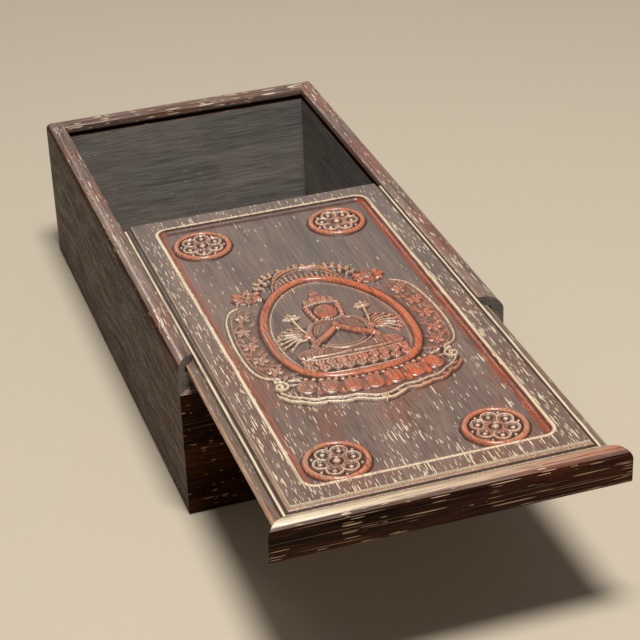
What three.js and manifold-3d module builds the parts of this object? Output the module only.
// Carved hardwood box with a sliding lid, shown with the lid drawn part of the way out.
// Four mitred boards stand round a bottom board let into a rebate. The lid runs in a groove
// on three sides, and its front bar fills the notch above the low front board.
// Millimetres. X runs across the box, Y from its front to its back, Z is up.
// The origin is the centre of the box's underside.
import * as THREE from "three";
import * as BufferGeometryUtils from "three/addons/utils/BufferGeometryUtils.js";
import Module from "manifold-3d";

const wasm = await Module();
wasm.setup();

// The box
const boxWidth = 150;
const boxLength = 274;
const rimHeight = 77.5;
const wallThickness = 8.8;
const notchDepth = 15.8;

// The rim's rounded top, the same on the three high boards and on the lid's front bar
const rimCrestInset = 4.8;
const rimOuterDrop = 5.6;
const rimInnerDrop = 1.6;

// The groove that the lid runs in, under the rim's lip, and the rebate for the bottom board
const lipThickness = 3;
const grooveHeight = 2.9;
const grooveDepth = 4.6;
const rebateWidth = 4.4;
const bottomThickness = 6;
const arrisRound = 0.8;

// The lid
const drawnOut = 130;
const tongueThickness = 2.4;
const tongueSideClearance = 0.9;
const runningClearance = 0.2;
const lidSideGap = 0.5;
const lidBackGap = 1.0;
const fieldDrop = 0.2;
const coveWidth = 3.5;
const coveDepth = 1.8;
const coveLip = 0.35;
const coveHollow = 0.35;
const barTongueDepth = 4;

// Clearances of the fixed joints and of the bar in its notch
const glueGap = 0.2;
const notchGap = 0.3;

// The framed and sunk panel of the lid
const bandWidth = 9.1;
const beadWidth = 2.2;
const beadHeight = 0.45;
const beadRise = 0.2;
const panelSlope = 2.6;
const panelDepth = 2.0;
const panelCornerRadius = 5;

// The carving, which stands on the sunk panel
const carvingShift = -0.9;
const rosetteRadius = 14;
const rosetteSideInset = 19.5;
const rosetteFrontInset = 15.6;
const rosetteBackInset = 21.6;
const rosetteHeight = 1.9;
const rosetteLobes = 6;
const rosetteRimWidth = 2.9;
const rosetteBead = 2.2;
const medallionFrontOfMiddle = 3.4;
const ringHalfWidth = 33.8;
const ringTop = 50.5;
const ringBottom = 40.5;
const ringTopFullness = 1.85;
const ringBottomFullness = 2.75;
const ringBar = 4.2;
const ringHeight = 1.9;
const sidePanelReach = 13.9;
const crestReach = 11;
const leafLength = 12;
const leafWidth = 10;
const lotusHalfWidth = 40.8;
const lotusReach = 22;
const lotusPetals = 9;
const petalPitch = 6.9;
const petalRowRise = 0.42;
const plateHeight = 0.7;
const plateRound = 0.3;
const rootDepth = 0.6;

// Places that follow from the sizes above
const frontY = -boxLength / 2;
const backY = boxLength / 2;
const wallInner = boxWidth / 2 - wallThickness;
const frontWallHeight = rimHeight - notchDepth;
const grooveTop = rimHeight - rimInnerDrop - lipThickness;
const grooveFloor = grooveTop - grooveHeight;
const tongueBottom = grooveFloor + runningClearance;
const tongueTop = tongueBottom + tongueThickness;
const tongueHalfWidth = wallInner + grooveDepth - tongueSideClearance;
const lidHalfWidth = wallInner - lidSideGap;
const fieldHalfWidth = lidHalfWidth - coveWidth;
const fieldTop = rimHeight - fieldDrop;
const lidFront = frontY + wallThickness + glueGap;
const lidBack = backY - wallThickness - lidBackGap;
const tongueBack = backY - wallThickness + grooveDepth - tongueSideClearance;
const fieldFront = lidFront + coveWidth;
const sunkLevel = fieldTop - panelDepth;
const frameHalfWidth = fieldHalfWidth - bandWidth;
const frameFront = fieldFront + bandWidth;
const frameBack = lidBack - bandWidth;

const darkWood = { color: 0x3a211b, roughness: 0.42, metalness: 0 };
const wornWood = { color: 0x52372c, roughness: 0.38, metalness: 0 };
const plainWood = { color: 0x4a3f38, roughness: 0.6, metalness: 0 };

function namedMesh(name, geometry, finish) {
  geometry.computeVertexNormals();
  const mesh = new THREE.Mesh(geometry, new THREE.MeshStandardMaterial(finish));
  mesh.name = name;
  return mesh;
}

function solidOf(geometry) {
  const bare = geometry.clone();
  bare.deleteAttribute("normal");
  bare.deleteAttribute("uv");
  const merged = BufferGeometryUtils.mergeVertices(bare, 1e-4);
  return new wasm.Manifold(new wasm.Mesh({
    numProp: 3,
    vertProperties: new Float32Array(merged.attributes.position.array),
    triVerts: new Uint32Array(merged.index.array),
  }));
}

function geometryOf(solid) {
  const mesh = solid.getMesh();
  const geometry = new THREE.BufferGeometry();
  geometry.setAttribute("position", new THREE.BufferAttribute(mesh.vertProperties, 3));
  geometry.setIndex(new THREE.BufferAttribute(mesh.triVerts, 1));
  return geometry;
}

// A board's section is drawn with x as the depth from its outer face and y as the height.
// The top is an elliptical round outside, a crest, and a gentle fall to the inner arris.
function drawRimTop(shape) {
  const spring = rimHeight - rimOuterDrop;
  shape.lineTo(0, spring);
  shape.absellipse(rimCrestInset, spring, rimCrestInset, rimOuterDrop, Math.PI, Math.PI / 2, true);
  shape.quadraticCurveTo(
    rimCrestInset + (wallThickness - rimCrestInset) * 0.6, rimHeight,
    wallThickness, rimHeight - rimInnerDrop
  );
}

function drawRebate(shape) {
  shape.lineTo(wallThickness, bottomThickness + glueGap);
  shape.lineTo(wallThickness - rebateWidth, bottomThickness + glueGap);
  shape.lineTo(wallThickness - rebateWidth, 0);
  shape.lineTo(arrisRound, 0);
}

function highWallSection() {
  const shape = new THREE.Shape();
  shape.moveTo(arrisRound, 0);
  shape.quadraticCurveTo(0, 0, 0, arrisRound);
  drawRimTop(shape);
  shape.lineTo(wallThickness, grooveTop);
  shape.lineTo(wallThickness - grooveDepth, grooveTop);
  shape.lineTo(wallThickness - grooveDepth, grooveFloor);
  shape.lineTo(wallThickness, grooveFloor);
  drawRebate(shape);
  return shape;
}

function frontWallSection() {
  const shape = new THREE.Shape();
  shape.moveTo(arrisRound, 0);
  shape.quadraticCurveTo(0, 0, 0, arrisRound);
  shape.lineTo(0, frontWallHeight - arrisRound);
  shape.quadraticCurveTo(0, frontWallHeight, arrisRound, frontWallHeight);
  shape.lineTo(wallThickness, frontWallHeight);
  drawRebate(shape);
  return shape;
}

function frontBarSection() {
  const bottom = frontWallHeight + notchGap;
  const shape = new THREE.Shape();
  shape.moveTo(arrisRound, bottom);
  shape.quadraticCurveTo(0, bottom, 0, bottom + arrisRound);
  drawRimTop(shape);
  shape.lineTo(wallThickness, tongueTop + glueGap);
  shape.lineTo(wallThickness - barTongueDepth - glueGap, tongueTop + glueGap);
  shape.lineTo(wallThickness - barTongueDepth - glueGap, tongueBottom - glueGap);
  shape.lineTo(wallThickness, tongueBottom - glueGap);
  shape.lineTo(wallThickness, bottom);
  shape.lineTo(arrisRound, bottom);
  return shape;
}

function extruded(shape, depth, curveSegments) {
  return new THREE.ExtrudeGeometry(shape, { depth, steps: 1, bevelEnabled: false, curveSegments });
}

// A straight board along X with its outer face at y = 0 and both ends cut at 45 degrees.
function mitredBoard(section, length, endGap) {
  const geometry = extruded(section, 1, 8);
  const position = geometry.attributes.position;
  for (let i = 0; i < position.count; i += 1) {
    const depth = position.getX(i);
    const height = position.getY(i);
    const side = position.getZ(i) > 0.5 ? 1 : -1;
    position.setXYZ(i, side * (length / 2 - endGap - depth), depth, height);
  }
  return geometry;
}

function roundedRectangle(halfWidth, front, back, radius) {
  const shape = new THREE.Shape();
  shape.moveTo(-halfWidth + radius, front);
  shape.lineTo(halfWidth - radius, front);
  shape.absarc(halfWidth - radius, front + radius, radius, -Math.PI / 2, 0, false);
  shape.lineTo(halfWidth, back - radius);
  shape.absarc(halfWidth - radius, back - radius, radius, 0, Math.PI / 2, false);
  shape.lineTo(-halfWidth + radius, back);
  shape.absarc(-halfWidth + radius, back - radius, radius, Math.PI / 2, Math.PI, false);
  shape.lineTo(-halfWidth, front + radius);
  shape.absarc(-halfWidth + radius, front + radius, radius, Math.PI, Math.PI * 1.5, false);
  return shape;
}

// Raised work with rounded upper edges, whose foot is sunk into the ground at level.
function raised(shape, level, height, round) {
  const geometry = new THREE.ExtrudeGeometry(shape, {
    depth: height + rootDepth - 2 * round,
    bevelEnabled: true,
    bevelThickness: round,
    bevelSize: round,
    bevelOffset: -round,
    bevelSegments: 2,
    curveSegments: 6,
  });
  geometry.translate(0, 0, level - rootDepth + round);
  return solidOf(geometry);
}

// The hollow edge moulding of the lid's field, from its foot up to the field.
function covePoints(edge, outward) {
  const lip = fieldTop - coveLip;
  const foot = lip - coveDepth;
  const hollow = new THREE.QuadraticBezierCurve(
    new THREE.Vector2(edge + outward * coveWidth, foot),
    new THREE.Vector2(edge + outward * coveWidth * coveHollow, foot),
    new THREE.Vector2(edge + outward * coveLip, lip)
  );
  return [...hollow.getPoints(6), new THREE.Vector2(edge + outward * coveLip * 0.3, fieldTop)];
}

// The lid board before carving: two sections crossed, so that their coves meet in mitres.
function lidBlank() {
  const across = new THREE.Shape([
    new THREE.Vector2(-tongueHalfWidth, tongueBottom),
    new THREE.Vector2(tongueHalfWidth, tongueBottom),
    new THREE.Vector2(tongueHalfWidth, tongueTop),
    new THREE.Vector2(lidHalfWidth, tongueTop),
    ...covePoints(fieldHalfWidth, 1),
    ...covePoints(-fieldHalfWidth, -1).reverse(),
    new THREE.Vector2(-lidHalfWidth, tongueTop),
    new THREE.Vector2(-tongueHalfWidth, tongueTop),
  ]);
  const acrossBoard = extruded(across, boxLength, 1);
  acrossBoard.rotateX(Math.PI / 2);
  acrossBoard.translate(0, backY, 0);

  const along = new THREE.Shape([
    new THREE.Vector2(lidFront - barTongueDepth, tongueBottom),
    new THREE.Vector2(tongueBack, tongueBottom),
    new THREE.Vector2(tongueBack, tongueTop),
    new THREE.Vector2(lidBack, tongueTop),
    new THREE.Vector2(lidBack, fieldTop),
    ...covePoints(fieldFront, -1).reverse(),
    new THREE.Vector2(lidFront, tongueTop),
    new THREE.Vector2(lidFront - barTongueDepth, tongueTop),
  ]);
  const alongBoard = extruded(along, boxWidth, 1);
  alongBoard.rotateX(Math.PI / 2);
  alongBoard.rotateZ(Math.PI / 2);
  alongBoard.translate(-boxWidth / 2, 0, 0);
  return solidOf(acrossBoard).intersect(solidOf(alongBoard));
}

// The sunk panel: a cutter with hollow sloping sides, and the bead that frames it.
function sunkPanelCutter() {
  const inside = beadWidth / 2;
  const half = frameHalfWidth - inside;
  const outline = roundedRectangle(half, frameFront + inside, frameBack - inside, panelCornerRadius);
  const geometry = new THREE.ExtrudeGeometry(outline, {
    depth: panelDepth,
    bevelEnabled: true,
    bevelThickness: panelDepth,
    bevelSize: panelSlope,
    bevelOffset: -panelSlope,
    bevelSegments: 3,
    curveSegments: 6,
  });
  geometry.translate(0, 0, sunkLevel + panelDepth);
  return solidOf(geometry);
}

// A round moulding that follows a closed outline, with its foot sunk into the ground.
function roundMoulding(outline, width, height, level) {
  const line = outline.getPoints(6);
  if (line[0].distanceTo(line[line.length - 1]) < 1e-6) line.pop();
  const sectionSteps = 6;
  const section = [new THREE.Vector2(width / 2, -rootDepth)];
  for (let j = 0; j <= sectionSteps; j += 1) {
    const turn = (j / sectionSteps) * Math.PI;
    section.push(new THREE.Vector2((width / 2) * Math.cos(turn), height * Math.sin(turn)));
  }
  section.push(new THREE.Vector2(-width / 2, -rootDepth));
  const positions = [];
  const faces = [];
  const ring = section.length;
  for (let i = 0; i < line.length; i += 1) {
    const before = line[(i + line.length - 1) % line.length];
    const after = line[(i + 1) % line.length];
    const along = after.clone().sub(before).normalize();
    for (const point of section) {
      positions.push(line[i].x + along.y * point.x, line[i].y - along.x * point.x, level + point.y);
    }
    const next = (i + 1) % line.length;
    for (let j = 0; j < ring; j += 1) {
      const k = (j + 1) % ring;
      faces.push(i * ring + j, next * ring + j, next * ring + k);
      faces.push(i * ring + j, next * ring + k, i * ring + k);
    }
  }
  const geometry = new THREE.BufferGeometry();
  geometry.setAttribute("position", new THREE.Float32BufferAttribute(positions, 3));
  geometry.setIndex(faces);
  return solidOf(geometry);
}

function frameBead() {
  const radius = panelCornerRadius + beadWidth / 2;
  const outline = roundedRectangle(frameHalfWidth, frameFront, frameBack, radius);
  return roundMoulding(outline, beadWidth, beadHeight, fieldTop + beadRise - beadHeight);
}

// A rosette: a turned disc with a round rim, a lobed flower on it and a bead in the middle.
function rosette() {
  const radius = rosetteRadius;
  const ground = rosetteHeight * 0.45;
  const profile = new THREE.Path();
  profile.moveTo(0, -rootDepth);
  profile.lineTo(radius, -rootDepth);
  profile.lineTo(radius, ground);
  profile.quadraticCurveTo(radius, rosetteHeight, radius - rosetteRimWidth / 2, rosetteHeight);
  profile.quadraticCurveTo(radius - rosetteRimWidth, rosetteHeight, radius - rosetteRimWidth, ground);
  profile.lineTo(rosetteBead, ground);
  profile.quadraticCurveTo(rosetteBead, rosetteHeight, 0, rosetteHeight);
  const disc = new THREE.LatheGeometry(profile.getPoints(3), 40);
  disc.rotateX(Math.PI / 2);

  const points = [];
  const steps = rosetteLobes * 8;
  for (let i = 0; i < steps; i += 1) {
    const turn = (i / steps) * Math.PI * 2;
    const lobe = Math.abs(Math.cos((turn * rosetteLobes) / 2));
    const reach = (radius - rosetteRimWidth) * (0.66 + 0.2 * lobe);
    points.push(new THREE.Vector2(reach * Math.cos(turn), reach * Math.sin(turn)));
  }
  const flower = new THREE.Shape(points);
  const hollow = new THREE.Path();
  hollow.absarc(0, 0, rosetteBead * 1.7, 0, Math.PI * 2, true);
  flower.holes.push(hollow);
  return solidOf(disc).add(raised(flower, ground, rosetteHeight / 2, plateRound));
}

// The oval ring: pointed a little at its top and full at its bottom, drawn anticlockwise.
function ringPoint(turn, inset) {
  const across = Math.cos(turn);
  const up = Math.sin(turn);
  const fullness = up > 0 ? ringTopFullness : ringBottomFullness;
  const height = up > 0 ? ringTop : ringBottom;
  return new THREE.Vector2(
    (ringHalfWidth - inset) * Math.sign(across) * Math.abs(across) ** (2 / fullness),
    (height - inset) * Math.sign(up) * Math.abs(up) ** (2 / fullness)
  );
}

function ovalRing() {
  const steps = 72;
  const points = [];
  for (let i = 0; i < steps; i += 1) {
    points.push(ringPoint((i / steps) * Math.PI * 2, ringBar / 2));
  }
  return roundMoulding(new THREE.Path(points), ringBar, ringHeight, 0);
}

// The grounds round the ring, each a low plate that the finer work stands on.
function sidePanel(side) {
  const edge = ringHalfWidth - ringBar / 2;
  const outer = ringHalfWidth + sidePanelReach;
  const top = ringTop * 0.66;
  const bottom = -ringBottom * 0.74;
  const shape = new THREE.Shape();
  shape.moveTo(side * edge * 0.72, top);
  shape.lineTo(side * edge, top + ringBar);
  const shoulder = side * (outer - ringBar);
  const foot = side * (outer - 2 * ringBar);
  shape.bezierCurveTo(shoulder, top, side * outer, top / 2, side * outer, 0);
  shape.bezierCurveTo(side * outer, bottom / 2, shoulder, bottom + ringBar, foot, bottom);
  shape.lineTo(side * edge * 0.82, bottom);
  shape.quadraticCurveTo(side * edge * 1.2, 0, side * edge * 0.72, top);
  return raised(shape, 0, plateHeight, plateRound);
}

function crest() {
  const half = ringHalfWidth * 0.56;
  const foot = ringTop * 0.76;
  const peak = ringTop + crestReach;
  const shape = new THREE.Shape();
  shape.moveTo(-half, foot);
  shape.bezierCurveTo(-half, foot + crestReach, -half / 2, peak, 0, peak);
  shape.bezierCurveTo(half / 2, peak, half, foot + crestReach, half, foot);
  shape.lineTo(0, ringTop - ringBar);
  shape.closePath();
  return raised(shape, 0, plateHeight * 1.5, plateRound);
}

function crestLeaf(side) {
  const leaf = new THREE.SphereGeometry(1, 14, 8);
  leaf.scale(leafLength / 2, leafWidth / 2, plateHeight * 2);
  leaf.rotateZ(side * -0.35);
  const beside = ringPoint(Math.PI * 0.29, 0);
  leaf.translate(side * (beside.x + leafLength * 0.45), beside.y + leafWidth * 0.35, 0);
  return solidOf(leaf);
}

function lotusBase() {
  const half = lotusHalfWidth;
  const shoulder = -ringBottom * 0.76;
  const foot = -ringBottom - lotusReach;
  const down = (share) => shoulder + (foot - shoulder) * share;
  const shape = new THREE.Shape();
  shape.moveTo(-half, shoulder);
  shape.quadraticCurveTo(-half * 1.05, down(0.28), -half * 0.8, down(0.54));
  shape.quadraticCurveTo(-half * 0.68, down(0.79), -half * 0.38, down(0.84));
  shape.quadraticCurveTo(-half * 0.16, down(0.87), 0, foot);
  shape.quadraticCurveTo(half * 0.16, down(0.87), half * 0.38, down(0.84));
  shape.quadraticCurveTo(half * 0.68, down(0.79), half * 0.8, down(0.54));
  shape.quadraticCurveTo(half * 1.05, down(0.28), half, shoulder);
  shape.lineTo(half * 0.6, shoulder);
  shape.quadraticCurveTo(0, -ringBottom - ringBar * 1.2, -half * 0.6, shoulder);
  let base = raised(shape, 0, plateHeight, plateRound);
  for (let i = 0; i < lotusPetals; i += 1) {
    const place = i - (lotusPetals - 1) / 2;
    const petal = new THREE.SphereGeometry(1, 10, 8);
    petal.scale(petalPitch * 0.49, petalPitch * 0.78, ringHeight);
    petal.rotateZ(place * 0.07);
    const rise = place * place * petalRowRise;
    petal.translate(place * petalPitch, -ringBottom - petalPitch * 0.8 + rise, 0);
    base = base.add(solidOf(petal));
  }
  return base;
}

function carvedLid() {
  let board = lidBlank().subtract(sunkPanelCutter()).add(frameBead());
  const flower = rosette();
  for (const side of [-1, 1]) {
    const x = carvingShift + side * (frameHalfWidth - rosetteSideInset);
    board = board.add(flower.translate([x, frameFront + rosetteFrontInset, sunkLevel]));
    board = board.add(flower.translate([x, frameBack - rosetteBackInset, sunkLevel]));
  }
  const medallion = ovalRing()
    .add(sidePanel(-1)).add(sidePanel(1))
    .add(crest()).add(crestLeaf(-1)).add(crestLeaf(1))
    .add(lotusBase());
  const middle = (frameFront + frameBack) / 2;
  return board.add(medallion.translate([carvingShift, middle - medallionFrontOfMiddle, sunkLevel]));
}

function bottomBoard() {
  const seat = wallThickness - rebateWidth + glueGap;
  const outline = roundedRectangle(boxWidth / 2 - seat, frontY + seat, backY - seat, arrisRound / 2);
  return extruded(outline, bottomThickness, 2);
}

const box = new THREE.Group();
const endGap = glueGap * Math.SQRT1_2;
const frontWall = namedMesh("front_wall", mitredBoard(frontWallSection(), boxWidth, endGap), darkWood);
frontWall.position.y = frontY;
const backWall = namedMesh("back_wall", mitredBoard(highWallSection(), boxWidth, endGap), darkWood);
backWall.rotation.z = Math.PI;
backWall.position.y = backY;
const leftWall = namedMesh("left_wall", mitredBoard(highWallSection(), boxLength, endGap), darkWood);
leftWall.rotation.z = -Math.PI / 2;
leftWall.position.x = -boxWidth / 2;
const rightWall = namedMesh("right_wall", mitredBoard(highWallSection(), boxLength, endGap), darkWood);
rightWall.rotation.z = Math.PI / 2;
rightWall.position.x = boxWidth / 2;
const bottom = namedMesh("bottom_board", bottomBoard(), plainWood);
box.add(frontWall, backWall, leftWall, rightWall, bottom);

const lid = new THREE.Group();
lid.position.y = -drawnOut;
const barBoard = mitredBoard(frontBarSection(), boxWidth, notchGap * Math.SQRT2);
const bar = namedMesh("lid_front_bar", barBoard, darkWood);
bar.position.y = frontY;
lid.add(bar, namedMesh("lid_panel", geometryOf(carvedLid()), wornWood));

const group = new THREE.Group();
group.add(box, lid);

export default group;
